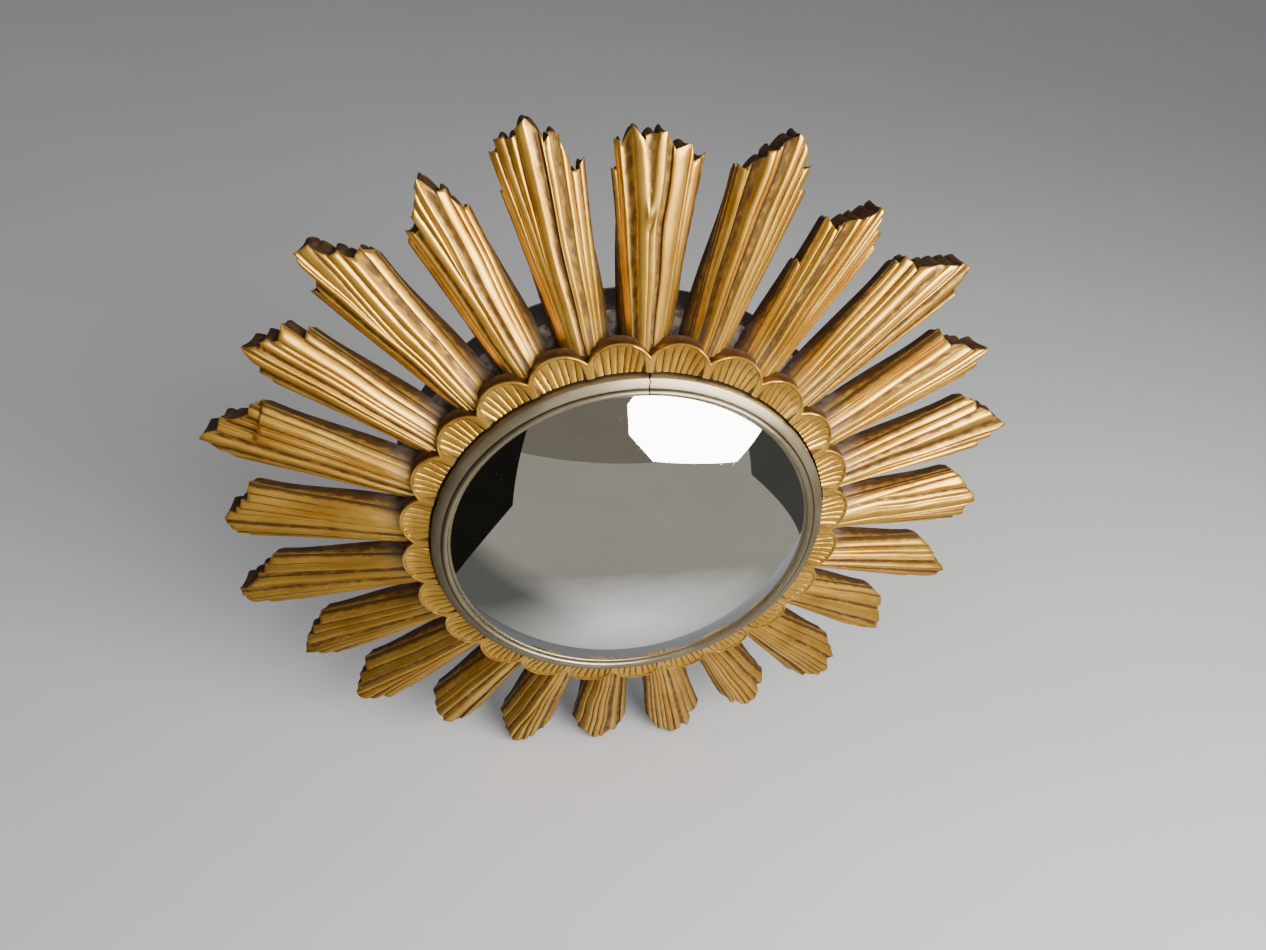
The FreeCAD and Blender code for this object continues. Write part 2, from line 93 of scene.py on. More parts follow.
# Clockwise from the top ray: the left side's place at WIDE_AT, then for each reed its right edge's place
# there and the radii where its left and right edges end.
RAYS = [
    (-30, [(-27, 262, 262), (-23, 279, 279), (-16, 276, 288), (-9, 289, 281), (-3, 284, 285),
           (2, 286, 287), (8, 286, 277), (17, 277, 280), (20, 279, 272), (28, 269, 272)]),
    (-25, [(-18, 269, 270), (-10, 271, 281), (-4, 284, 287), (4, 288, 297), (9, 299, 297),
           (15, 295, 289), (21, 280, 282), (27, 268, 267)]),
    (-27, [(-24, 228, 227), (-19, 260, 258), (-15, 258, 257), (-8, 260, 269), (-4, 270, 271),
           (2, 272, 280), (6, 283, 282), (9, 279, 272), (16, 271, 270), (19, 261, 261), (23, 260, 259)]),
    (-30, [(-27, 262, 263), (-21, 269, 270), (-16, 270, 269), (-9, 272, 281), (-3, 281, 286),
           (4, 287, 293), (11, 295, 298), (15, 296, 286), (23, 283, 281), (28, 270, 270)]),
    (-27, [(-20, 261, 261), (-15, 262, 263), (-9, 264, 273), (0, 273, 278), (5, 280, 287),
           (9, 288, 280), (17, 277, 278), (24, 269, 269)]),
    (-28, [(-22, 266, 274), (-17, 274, 274), (-12, 276, 283), (-6, 284, 288), (4, 289, 298),
           (8, 299, 290), (14, 288, 286), (20, 277, 278), (25, 279, 279), (27, 262, 261)]),
    (-28, [(-22, 260, 269), (-14, 269, 275), (-11, 276, 275), (-4, 277, 285), (5, 285, 289),
           (8, 287, 282), (13, 282, 282), (19, 283, 283), (26, 279, 280), (28, 265, 263)]),
    (-25, [(-17, 255, 270), (-11, 270, 276), (-5, 277, 281), (1, 281, 292), (7, 293, 300),
           (14, 300, 298), (19, 297, 283), (25, 272, 268)]),
    (-27, [(-21, 248, 262), (-14, 263, 266), (-8, 265, 269), (3, 270, 282), (9, 282, 287),
           (15, 288, 285), (19, 282, 268), (25, 264, 258)]),
    (-27, [(-20, 258, 268), (-14, 272, 284), (-9, 286, 281), (-3, 281, 290), (2, 293, 298),
           (6, 297, 294), (11, 296, 298), (15, 296, 288), (21, 288, 292), (24, 288, 272), (28, 274, 272)]),
    (-25, [(-17, 254, 268), (-12, 268, 264), (-6, 270, 281), (1, 282, 285), (6, 286, 289),
           (11, 289, 283), (14, 280, 276), (19, 279, 282), (25, 272, 262)]),
    (-25, [(-19, 268, 277), (-13, 276, 272), (-8, 285, 295), (-3, 294, 289), (2, 292, 299),
           (8, 300, 299), (12, 296, 288), (17, 290, 294), (21, 292, 282), (27, 281, 268)]),
    (-25, [(-20, 262, 268), (-14, 270, 282), (-9, 281, 277), (-3, 280, 289), (0, 288, 286),
           (6, 288, 290), (11, 288, 280), (19, 277, 277), (27, 268, 262)]),
    (-26, [(-20, 262, 272), (-13, 280, 285), (-8, 286, 293), (-3, 294, 298), (3, 299, 298),
           (8, 296, 290), (14, 288, 282), (20, 276, 273), (26, 268, 262)]),
    (-25, [(-21, 258, 264), (-15, 273, 276), (-9, 280, 285), (0, 286, 287), (5, 286, 280),
           (11, 281, 278), (17, 274, 270), (25, 266, 260)]),
    (-27, [(-23, 264, 267), (-16, 286, 288), (-11, 287, 285), (-6, 290, 297), (1, 298, 301),
           (6, 300, 296), (12, 294, 288), (18, 282, 279), (27, 270, 264)]),
    (-26, [(-20, 258, 262), (-13, 274, 276), (-8, 277, 283), (-2, 284, 290), (5, 289, 284),
           (11, 282, 278), (17, 272, 268), (26, 262, 256)]),
    (-25, [(-20, 264, 266), (-15, 283, 284), (-9, 296, 299), (-4, 300, 297), (3, 300, 299),
           (9, 294, 284), (15, 282, 279), (20, 274, 272), (26, 270, 264)]),
    (-24, [(-18, 274, 274), (-12, 283, 283), (-6, 284, 285), (0, 287, 288), (5, 288, 284),
           (9, 279, 278), (15, 276, 274), (20, 270, 269), (26, 270, 268)]),
    (-24, [(-19, 277, 280), (-16, 280, 282), (-10, 288, 299), (-4, 301, 298), (2, 297, 286),
           (8, 290, 290), (15, 286, 274), (22, 273, 273), (27, 272, 266)]),
    (-24, [(-19, 264, 265), (-12, 274, 276), (-6, 280, 291), (0, 290, 284), (4, 281, 282),
           (8, 283, 280), (12, 277, 273), (20, 274, 276), (27, 260, 261)]),
    (-23, [(-18, 273, 273), (-15, 270, 271), (-10, 274, 278), (-7, 290, 295), (1, 297, 295),
           (5, 292, 284), (12, 283, 281), (17, 278, 271), (23, 272, 273), (28, 271, 264)]),
    (-24, [(-20, 258, 262), (-15, 266, 264), (-10, 263, 264), (-5, 273, 277), (0, 278, 284),
           (4, 287, 291), (10, 290, 277), (15, 279, 277), (19, 272, 263), (23, 262, 261)]),
    (-28, [(-26, 262, 262), (-21, 285, 285), (-15, 292, 293), (-10, 291, 293), (-3, 296, 301),
           (4, 301, 289), (7, 286, 289), (13, 291, 288), (17, 284, 272), (22, 266, 265), (26, 267, 270)]),
]

# Reeds that start part of the way out, as a point between their neighbours: (ray, reed) to radius.
WEDGES = {
    (1, 5): 236, (5, 6): 190, (6, 4): 200, (7, 2): 196, (7, 7): 210, (14, 5): 225,
    (22, 5): 217, (23, 5): 214, (24, 4): 205, (19, 6): 200, (16, 5): 215,
}
# Reeds that are hollow, as flutes between two ridges.
HOLLOWS = {
    (1, 3), (1, 5), (2, 2), (3, 4), (4, 5), (5, 3), (6, 3), (7, 3), (8, 4), (9, 3), (10, 3), (11, 2),
    (12, 4), (13, 4), (14, 7), (15, 5), (16, 7), (17, 6), (18, 6), (19, 4), (20, 3), (21, 5), (22, 3),
    (23, 3), (24, 8),
}

# The chip out of the end of ray 20
NOTCHED = 20
NOTCHED_FROM_REED = 5
NOTCH_FROM = 264.0
NOTCH_STEP = 1.5            # the notch reaches its depth over this distance
NOTCH_DEPTH = 3.2
# painted shade in the notch
NOTCH_SHADE = 0.35

# The small hooked knot on the face of the top ray: the places, as v and u, of its bump and its cut
KNOT_BUMP_AT, KNOT_BUMP = (-6.0, 240.0), 1.5
KNOT_CUT_AT, KNOT_CUT = (-3.8, 235.0), 1.8

# Collar
CUSP_R = 155.0
LOBE_R = 165.0
COLLAR_INNER_R = 144.3
COLLAR_SEAT = -50.0
COLLAR_INNER_FRONT = -64.0
COLLAR_CUSP_FRONT = -62.0
COLLAR_OUTER_FRONT = -60.6
FLUTES = 7
LOBE_COLUMNS = 96
COLLAR_ROWS = 30

# Bezel and glass
BEZEL_FACE = [
    (131.3, -69.2), (131.35, -70.4), (131.9, -71.3), (132.7, -71.8), (133.5, -71.85), (134.4, -71.4),
    (135.1, -70.6), (135.4, -70.0), (135.75, -69.65), (136.1, -69.7), (136.5, -69.95), (137.4, -69.65),
    (139.0, -68.9), (140.8, -68.0), (142.0, -67.35), (142.55, -66.9), (142.8, -66.3), (142.8, -62.0),
    (142.8, -57.0), (140.8, -57.0), (140.8, -62.0), (137.7, -62.0), (137.7, -66.1), (134.5, -67.8),
]
BEZEL_GROOVE = (135.2, 136.3)
BEZEL_GROOVE_FRONT = -69.0
GLASS_SPHERE_R = 218.0
GLASS_THICK = 3.0


# ---------------------------------------------------------------- meshes

def mesh_piece(name, points, faces, material, masks=None, local=None, sharp_deg=38):
    """A smooth-shaded mesh object in metres, with its carving masks and its own coordinates as attributes."""
    mesh = bpy.data.meshes.new(name)
    mesh.from_pydata([tuple(p) for p in np.asarray(points) * MM], [], faces)
    if masks is not None:
        colours = np.ones((len(points), 4), np.float32)
        colours[:, :3] = masks
        mesh.attributes.new("carve", "FLOAT_COLOR", "POINT").data.foreach_set("color", colours.ravel())
    if local is not None:
        values = (np.asarray(local) * MM).astype(np.float32)
        mesh.attributes.new("local", "FLOAT_VECTOR", "POINT").data.foreach_set("vector", values.ravel())
    solid = bmesh.new()
    solid.from_mesh(mesh)
    if solid.calc_volume(signed=True) < 0:
        mesh.flip_normals()
    solid.free()
    mesh.polygons.foreach_set("use_smooth", [True] * len(mesh.polygons))
    mesh.set_sharp_from_angle(angle=math.radians(sharp_deg))
    mesh.materials.append(material)
    mesh.update()
    piece = bpy.data.objects.new(name, mesh)
    bpy.context.scene.collection.objects.link(piece)
    return piece


def waves(rng, count, low, high):
    """Seeded sine waves, (waves per mm along u, waves per mm along v, phase), for hand-made unevenness."""
    return [(rng.uniform(low, high), rng.uniform(low, high) * 3, rng.uniform(0, 6.28)) for _ in range(count)]


def wave_sum(terms, u, v=0.0):
    return sum(math.sin(6.283 * (a * u + b * v) + c) for a, b, c in terms) / len(terms)


def smooth(x):
    x = min(max(x, 0.0), 1.0)
    return x * x * (3 - 2 * x)


# ---------------------------------------------------------------- rays

class Ray:
    """The carved surface of one ray, in its own coordinates: v sideways, y in depth, u out from the axis."""

    def __init__(self, number, left, reeds):
        rng = random.Random(100 + number)
        self.number = number
        self.reeds = reeds
        self.ends = [(a - END_INSET, b - END_INSET) for _, a, b in reeds]
        self.places = [left] + [reed[0] for reed in reeds]
        self.widths = [b - a for a, b in zip(self.places, self.places[1:])]
        self.starts = [WEDGES.get((number, i + 1)) for i in range(len(reeds))]
        self.hollow = []
        for i, width in enumerate(self.widths):
            chosen = (number, i + 1) in HOLLOWS or (width >= 6 and rng.random() < 0.35)
            self.hollow.append(chosen and 0 < i < len(reeds) - 1 and not (i and self.hollow[-1]))
        self.drops = [rng.uniform(0.0, 0.42) for _ in reeds]
        self.powers = [rng.uniform(2.0, 3.0) for _ in reeds]
        self.skews = [rng.uniform(0.78, 1.28) for _ in reeds]
        self.width_waves = [waves(rng, 2, 0.006, 0.02) for _ in reeds]
        self.side_waves = [waves(rng, 2, 0.006, 0.018) for _ in range(2)]
        self.face_waves = waves(rng, 5, 0.01, 0.06)
        self.chip_waves = waves(rng, 4, 0.05, 0.16)
        self.ridges = [rng.choice((-1, 0, 0, 1)) if width >= 6 else 0 for width in self.widths]
        self.known = {}
        self.depths = [self.groove_depth(i) * rng.uniform(0.82, 1.1) for i in range(len(reeds) + 1)]
        self.fades = [rng.choice((0.15, 0.5, 1.0, 1.0)) for _ in self.depths]
        self.fades[0] = self.fades[-1] = 1.0

    def groove_depth(self, i):
        beside = self.widths[max(i - 1, 0):i + 1]
        depth = min(GROOVE_SHARE * min(beside), GROOVE_MAX)
        if any(self.hollow[max(i - 1, 0):i + 1]):
            depth *= 0.25
        return depth

    def narrowing(self, u):
        return (u - ROOT_AT) / (WIDE_AT - ROOT_AT)

    def lines_at(self, u):
        """The places of the reeds' edges and their depths at radius u, worked out once for each radius."""
        key = round(u, 3)
        if key not in self.known:
            self.known[key] = (self.edges_at(u), self.edge_depths(u))
        return self.known[key]

    def edges_at(self, u):
        t = self.narrowing(u)
        whole = self.places[-1] - self.places[0]
        low = -ROOT_HALF + (self.places[0] + ROOT_HALF) * t + 0.25 * wave_sum(self.side_waves[0], u)
        high = ROOT_HALF + (self.places[-1] - ROOT_HALF) * t - 0.25 * wave_sum(self.side_waves[1], u)
        parts = []
        for width, start, terms in zip(self.widths, self.starts, self.width_waves):
            if start is None:
                root = 2 * ROOT_HALF * width / whole
                part = root + (width - root) * t
            else:
                part = width * max((u - start) / (WIDE_AT - start), 0.0)
            parts.append(part * (1 + 0.07 * wave_sum(terms, u)))
        scale = (high - low) / sum(parts)
        edges = [low]
        for part in parts:
            edges.append(edges[-1] + part * scale)
        return edges

    def envelope(self, share):
        return RAY_THICK - 0.6 - RAY_CROWN * abs(2 * share - 1) ** 2.4

    def edge_depths(self, u):
        """How far each edge between reeds lies below the envelope. Some grooves fade out towards the root,
        and a wedge's two edges meet at its start."""
        scale = 0.62 + 0.38 * min(max(self.narrowing(u), 0.0), 1.2)
        out = smooth((u - 150) / 95)
        depths = [d * scale * (fade + (1 - fade) * out) for d, fade in zip(self.depths, self.fades)]
        for i, start in enumerate(self.starts):
            if start is not None:
                mean = (depths[i] + depths[i + 1]) / 2
                apart = smooth((u - start) / 25.0)
                depths[i] = mean + (depths[i] - mean) * apart
                depths[i + 1] = mean + (depths[i + 1] - mean) * apart
        return depths

    def surface(self, i, s, u):
        """(v, y, groove) on the front of reed i, a share s of the way across it, at radius u."""
        edges, depths = self.lines_at(u)
        v = edges[i] + (edges[i + 1] - edges[i]) * s
        width = edges[i + 1] - edges[i]
        full = edges[-1] - edges[0]
        low = self.envelope((edges[i] - edges[0]) / full) - depths[i]
        high = self.envelope((edges[i + 1] - edges[0]) / full) - depths[i + 1]
        across = s ** self.skews[i]
        bump = 1 - abs(2 * across - 1) ** self.powers[i]
        # Brown patina and painted shade: the groove value darkens the valleys between reeds, the middle of a
        # hollow flute and the line beside a ridge.
        if self.hollow[i]:
            rise = -min(0.2 * width, 2.0)
            groove = 0.25 + 0.5 * bump
        else:
            rise = min((depths[i] + depths[i + 1]) / 2 * (1 - self.drops[i]) + 0.05 * width, 0.55 * width)
            near = depths[i] if s < 0.5 else depths[i + 1]
            groove = (1 - bump) ** 1.6 * min(near / 1.5, 1.0)
        height = low + (high - low) * s + rise * bump
        if self.ridges[i]:
            x = s if self.ridges[i] < 0 else 1 - s
            ridge = math.exp(-((x - 0.13) / 0.06) ** 2)
            line = math.exp(-((x - 0.27) / 0.06) ** 2)
            tall = min(0.13 * width, 0.8)
            height += tall * (ridge - line)
            groove = min(max(groove - 0.5 * ridge + 0.5 * line, 0.0), 1.0)
        if self.number == NOTCHED and i >= NOTCHED_FROM_REED:
            inside = min(4 * (i + s - NOTCHED_FROM_REED), 1.0)
            inside *= smooth((u - NOTCH_FROM) / NOTCH_STEP)
            height -= NOTCH_DEPTH * inside
            # Painted shade inside the notch.
            groove = min(groove + NOTCH_SHADE * inside, 1.0)
        if self.number == 1:
            height += knot(v, u)
        own_end = self.ends[i][0] + (self.ends[i][1] - self.ends[i][0]) * s
        height -= END_WEAR * math.exp(-max(own_end - u, 0.0) / END_WEAR_LENGTH)
        height += FACE_WAVES * wave_sum(self.face_waves, u, v)
        # The long edges get painted shade on top of the groove value.
        return v, ray_back(u) - height, min(groove + EDGE_SHADE * self.narrow_side(i, s), 1.0)

    def narrow_side(self, i, s):
        """1 along the long edges of the ray, falling to 0 a reed's width inside them."""
        return max(1 - (i + s), 1 - (len(self.reeds) - i - s), 0.0)


def knot(v, u):
    """The small hooked knot on the face of the top ray."""
    across, along = v - KNOT_BUMP_AT[0], u - KNOT_BUMP_AT[1]
    bump = KNOT_BUMP * math.exp(-(across / 1.6) ** 2 - (along / 4.5) ** 2)
    across, along = v - KNOT_CUT_AT[0], u - KNOT_CUT_AT[1]
    cut = KNOT_CUT * math.exp(-(across - 0.3 * along) ** 2 - (along / 4.0) ** 2)
    return bump - cut


def ray_back(u):
    return RAY_BACK + RAY_SLOPE * (u - ROOT_AT)


def spread(low, high, rows):
    return [low + (high - low) * (k + 1) / rows for k in range(rows)]


def ray_front(ray):
    """The points and faces of a ray's front, one patch of the grid for each reed. A point also has its groove
    value, and how near it is to the middle of its reed, from 0 at the reed's edges to 1."""
    count = len(ray.reeds)
    shared = [ray.ends[0][0]]
    shared += [min(ray.ends[i][1], ray.ends[i + 1][0]) for i in range(count - 1)]
    shared += [ray.ends[-1][1]]
    split_at = min(shared) - 8
    points, grooves, middles, index, faces = [], [], [], {}, []

    def vertex(i, s, u):
        v, y, groove = ray.surface(i, s, u)
        key = (round(v * 2000), round(u * 2000))
        if key not in index:
            index[key] = len(points)
            points.append((v, y, u))
            grooves.append(groove)
            middles.append(1 - (2 * s - 1) ** 2)
        return index[key]

    for i in range(count):
        sides = []
        for side in (0, 1):
            common, own = shared[i + side], ray.ends[i][side]
            sides.append([RAY_ROOT] + spread(RAY_ROOT, split_at, LONG_ROWS)
                         + spread(split_at, common, SHARED_ROWS) + spread(common, own, TIP_ROWS))
        grid = []
        for low, high in zip(*sides):
            grid.append([vertex(i, s, low + (high - low) * s) for s in REED_SHARES])
        for near, far in zip(grid, grid[1:]):
            for j in range(len(REED_SHARES) - 1):
                corners = [near[j], near[j + 1], far[j + 1], far[j]]
                face = [c for k, c in enumerate(corners) if c != corners[k - 1]]
                if len(set(face)) > 2:
                    faces.append(face)
    return points, grooves, middles, faces


def outline_of(faces):
    """The closed outline of a sheet of faces, as one loop of vertex numbers in the faces' own direction."""
    after = {}
    sides = set()
    for face in faces:
        for a, b in zip(face, face[1:] + face[:1]):
            sides.add((a, b))
    for a, b in sides:
        if (b, a) not in sides:
            after[a] = b
    start = next(iter(after))
    loop = [start]
    while after[loop[-1]] != start:
        loop.append(after[loop[-1]])
    return loop


def undercut_point(ray, place, middle, end, share):
    """Where a point of a ray's outline lies, seen from the front, a share of the way down the ray's side. The
    ends are cut back behind their rims, most of all where two reeds meet, and the long sides are rounded."""
    v, u = place
    edges, _ = ray.lines_at(u)
    half = (edges[-1] - edges[0]) / 2
    centre = edges[0] + half
    swell = FLANK_SWELL - (FLANK_SWELL + FLANK_UNDERCUT) * smooth((u - 168) / 90)
    side = -swell * (1 - (1 - share) ** 2)
    tip = (TIP_UNDERCUT + VALLEY_UNDERCUT * (1 - middle)) * (1 - (1 - share) ** 1.8)
    along = smooth((u - end + 30) / 30)
    return centre + (v - centre) * (1 - side / half), u - tip * along


def ray_mesh(ray):
    """A closed carved ray: the reeds in front, undercut ends in brown paint and painted shade, rounded sides
    and a flat back.
    """
    points, grooves, middles, faces = ray_front(ray)
    loop = outline_of(faces)
    masks = [(g, 0.0, 0.0) for g in grooves]
    plan = np.array([(points[k][0], points[k][2]) for k in loop])
    along = np.roll(plan, -1, 0) - np.roll(plan, 1, 0)
    along /= np.maximum(np.linalg.norm(along, axis=1), 1e-6)[:, None]
    outward = np.column_stack([along[:, 1], -along[:, 0]])
    rings = [loop]
    tops = [points[k][1] for k in loop]
    rims = []
    for k, place, normal in zip(loop, plan, outward):
        v, y, u = points[k]
        edges, _ = ray.lines_at(u)
        beside = min(abs(v - edges[0]), abs(v - edges[-1])) < 0.01
        end = ray.ends[0][0] if v < (edges[0] + edges[-1]) / 2 else ray.ends[-1][1]
        rims.append((middles[k], end if beside else u - 30, beside and u < end - 0.01))
        points[k] = (v - EDGE_INSET * normal[0], y, u - EDGE_INSET * normal[1])
        # The worn rim keeps half of the front's patina and painted shade.
        masks[k] = (masks[k][0] * 0.5, 0.0, 0.0)
    for share in SIDE_LEVELS:
        ring = []
        for place, top, (middle, end, beside) in zip(plan, tops, rims):
            if place[1] < RAY_ROOT + 0.01:
                end = place[1] + 60
            v, u = undercut_point(ray, place, middle, end, share)
            back = ray_back(u)
            chip = 0.25 * wave_sum(ray.chip_waves, place[1], place[0])
            rim = top + EDGE_DROP + chip * (0.5 if beside else 1.0)
            ring.append(len(points))
            points.append((v, rim + (back - rim) * share, u))
            # Brown paint and painted shade down the long sides and the ends.
            if beside:
                masks.append((0.6 + 0.4 * share, 0.15 + 0.6 * smooth(share / 0.6), 0.0))
            else:
                masks.append((0.5, 0.3 if share == 0 else 0.9, 0.0))
        rings.append(ring)
    for upper, lower in zip(rings, rings[1:]):
        size = len(upper)
        for j in range(size):
            k = (j + 1) % size
            faces.append([upper[k], upper[j], lower[j], lower[k]])
    faces.append(rings[-1])
    return points, masks, faces


def dust_mask(points, faces, masks, frame_axes):
    """Dust lies near the roots, on what faces up. Fills the third mask from the faces' directions."""
    corners = np.array([[points[k] for k in face[:3]] for face in faces])
    normals = np.cross(corners[:, 1] - corners[:, 0], corners[:, 2] - corners[:, 0])
    total = np.zeros((len(points), 3))
    for face, normal in zip(faces, normals):
        total[face] += normal
    total /= np.maximum(np.linalg.norm(total, axis=1), 1e-9)[:, None]
    up = total @ frame_axes[:, 2]
    for k, (_, _, u) in enumerate(points):
        near = smooth((188 - u) / 26)
        masks[k] = (masks[k][0], masks[k][1], 0.8 * near * smooth(0.1 + 0.8 * up[k]))
    return masks


def turned_axes(k, half=0.0):
    """Rows: where the v, y and u axes of ray k point in the mirror's frame."""
    c, s = math.cos(STEP * (k + half)), math.sin(STEP * (k + half))
    return np.array([[c, 0, -s], [0, 1, 0], [s, 0, c]])


def make_rays(material):
    for k, (left, reeds) in enumerate(RAYS):
        ray = Ray(k + 1, left, reeds)
        points, masks, faces = ray_mesh(ray)
        axes = turned_axes(k)
        masks = dust_mask(points, faces, masks, axes)
        placed = np.array(points) @ axes
        local = np.array(points) + np.array([0, 0, 400.0 * k])
        node = "ray_%02d" % (k + 1)
        piece = mesh_piece("carved_" + node, placed, faces, material, masks, local)
        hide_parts(node)
        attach(piece, "frame")


# ---------------------------------------------------------------- collar

LOBE_SIDE = CUSP_R * math.sin(STEP / 2)
LOBE_RISE = LOBE_R - CUSP_R * math.cos(STEP / 2)
LOBE_ARC_R = (LOBE_SIDE ** 2 + LOBE_RISE ** 2) / (2 * LOBE_RISE)
LOBE_CENTRE = LOBE_R - LOBE_ARC_R
FAN_FROM = 96.0             # the flutes of a lobe fan out from this radius
FAN_AT = 152.0              # radius where the fan is as wide as the hollow
HOLLOW_HALF = 16.6          # half the width of the hollow in a lobe
RIM_WIDTH = 1.3             # between a lobe's outline and its hollow
RIM_HEIGHT = 0.4
STEP_DOWN = 0.5             # from the rim into the hollow
SCOOP_DEPTH = 0.9
CUT_DEPTH = 1.1             # between two flutes
# painted shade that deepens with the scoop
HOLLOW_SHADE = 0.14
RIM_SHADE = 0.75            # painted shade where the rim meets the hollow


def lobe_outline(turn):
    """Radius of the collar's outline, at an angle from the middle of a lobe."""
    across = LOBE_CENTRE * math.sin(turn)
    return LOBE_CENTRE * math.cos(turn) + math.sqrt(LOBE_ARC_R ** 2 - across ** 2)


def collar_cone(r):
    """Depth of the collar's front before it is carved."""
    if r < CUSP_R:
        t = (r - COLLAR_INNER_R) / (CUSP_R - COLLAR_INNER_R)
        return COLLAR_INNER_FRONT + (COLLAR_CUSP_FRONT - COLLAR_INNER_FRONT) * t
    t = (r - CUSP_R) / (LOBE_R - CUSP_R)
    return COLLAR_CUSP_FRONT + (COLLAR_OUTER_FRONT - COLLAR_CUSP_FRONT) * t


def soft_min(a, b, k):
    h = max(k - abs(a - b), 0.0) / k
    return min(a, b) - h * h * k / 4


class Lobe:
    def __init__(self, number):
        rng = random.Random(500 + number)
        self.edges = [-1.0]
        for _ in range(FLUTES):
            self.edges.append(self.edges[-1] + rng.uniform(0.8, 1.2))
        span = self.edges[-1] - self.edges[0]
        self.edges = [(e - self.edges[0]) / span * 2 - 1 for e in self.edges]
        self.lift = [rng.uniform(-0.18, 0.12) for _ in range(FLUTES)]
        self.bend = rng.uniform(-0.05, 0.05)
        self.reach = [rng.uniform(6.0, 8.0) for _ in range(FLUTES)]
        self.waves = waves(rng, 4, 0.04, 0.16)

    def carving(self, a, b):
        """(height above the cone, groove) at a mm sideways and b mm out, in the lobe's own directions."""
        from_centre = math.hypot(a, b - LOBE_CENTRE)
        to_outline = LOBE_ARC_R - from_centre
        inside = soft_min(to_outline - RIM_WIDTH, HOLLOW_HALF - abs(a), 3.0)
        if inside <= 0:
            rim = math.exp(-((to_outline - 0.75) / 0.5) ** 2)
            edge = math.exp(-(inside / 0.6) ** 2)
            # Painted shade along the hollow's edge.
            return RIM_HEIGHT * rim - 0.2 * edge - 0.15, 0.35 * edge
        fan = (a - self.bend * (b - 150) * 3) / (HOLLOW_HALF * (b - FAN_FROM) / (FAN_AT - FAN_FROM))
        fan = min(max(fan, -0.999), 0.999)
        flute = max(k for k in range(FLUTES) if self.edges[k] <= fan)
        low, high = self.edges[flute], self.edges[flute + 1]
        x = abs(2 * (fan - low) / (high - low) - 1)
        cut = 0.5 * x ** 2 + 0.5 * x ** 8
        scoop = smooth(inside / self.reach[flute])
        step = STEP_DOWN * smooth(inside / 1.1)
        height = -step - SCOOP_DEPTH * scoop
        height -= (CUT_DEPTH + self.lift[flute]) * cut * smooth(inside / 2.5)
        height += 0.03 * wave_sum(self.waves, a * 2, b * 0.4) * scoop
        # Painted shade under the rim, in the cuts between flutes and deeper in the scoop.
        shade = RIM_SHADE * math.exp(-(inside / 1.3) ** 2)
        groove = min(max(x ** 6, shade) + HOLLOW_SHADE * scoop, 0.95)
        return height - 0.1 - 0.15 * math.exp(-(inside / 0.6) ** 2), groove


def make_collar(material):
    """The scalloped collar: hand-cut flutes in each lobe, a thin rim, and a coved side painted dark brown as
    shade.
    """
    # Down the side: the share of its height, and how far it lies inside the outline.
    side_levels = [(0.05, -0.25), (0.12, 0.0), (0.4, 1.1), (0.7, 1.3), (0.92, 0.6), (1.0, 0.0)]
    points, masks, local = [], [], []
    columns = LOBE_COLUMNS * len(RAYS)
    for column in range(columns):
        lobe_number, part = divmod(column, LOBE_COLUMNS)
        if part == 0:
            lobe = Lobe(lobe_number)
            axes = turned_axes(lobe_number, 0.5)
        turn = STEP * (part / LOBE_COLUMNS - 0.5)
        outer = lobe_outline(turn) - 0.3
        # The inner wall is painted dark brown, as painted shade.
        strip = [(COLLAR_INNER_R, y, (0.8, 1.0)) for y in (COLLAR_SEAT, -60.0)]
        for row in range(COLLAR_ROWS + 1):
            r = COLLAR_INNER_R + 0.15 + (outer - COLLAR_INNER_R - 0.15) * row / COLLAR_ROWS
            height, groove = lobe.carving(r * math.sin(turn), r * math.cos(turn))
            strip.append((r, collar_cone(r) - height + 0.15, (groove, 0.0)))
        top = strip[-1][1]
        for share, inset in side_levels:
            y = top + (COLLAR_SEAT - top) * share
            r = outer + 0.3 - inset if share > 0.05 else outer + 0.22
            # The coved side is painted dark brown, as painted shade, darker further down.
            strip.append((r, y, (0.3, 0.0) if share < 0.1 else (0.8, 0.35 + 0.45 * share)))
        for r, y, (groove, side) in strip:
            place = np.array([r * math.sin(turn), y, r * math.cos(turn)])
            points.append(place @ axes)
            masks.append((groove, side, 0.0))
            local.append(place + np.array([0, 0, 400.0 * (lobe_number + 30)]))
    rows = len(strip)
    faces = []
    for column in range(columns):
        following = (column + 1) % columns
        for row in range(rows):
            below = (row + 1) % rows
            faces.append([column * rows + row, column * rows + below, following * rows + below,
                          following * rows + row])
    piece = mesh_piece("carved_collar", points, faces, material, masks, local, 50)
    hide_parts("scalloped_collar")
    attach(piece, "frame")


# ---------------------------------------------------------------- bezel and glass

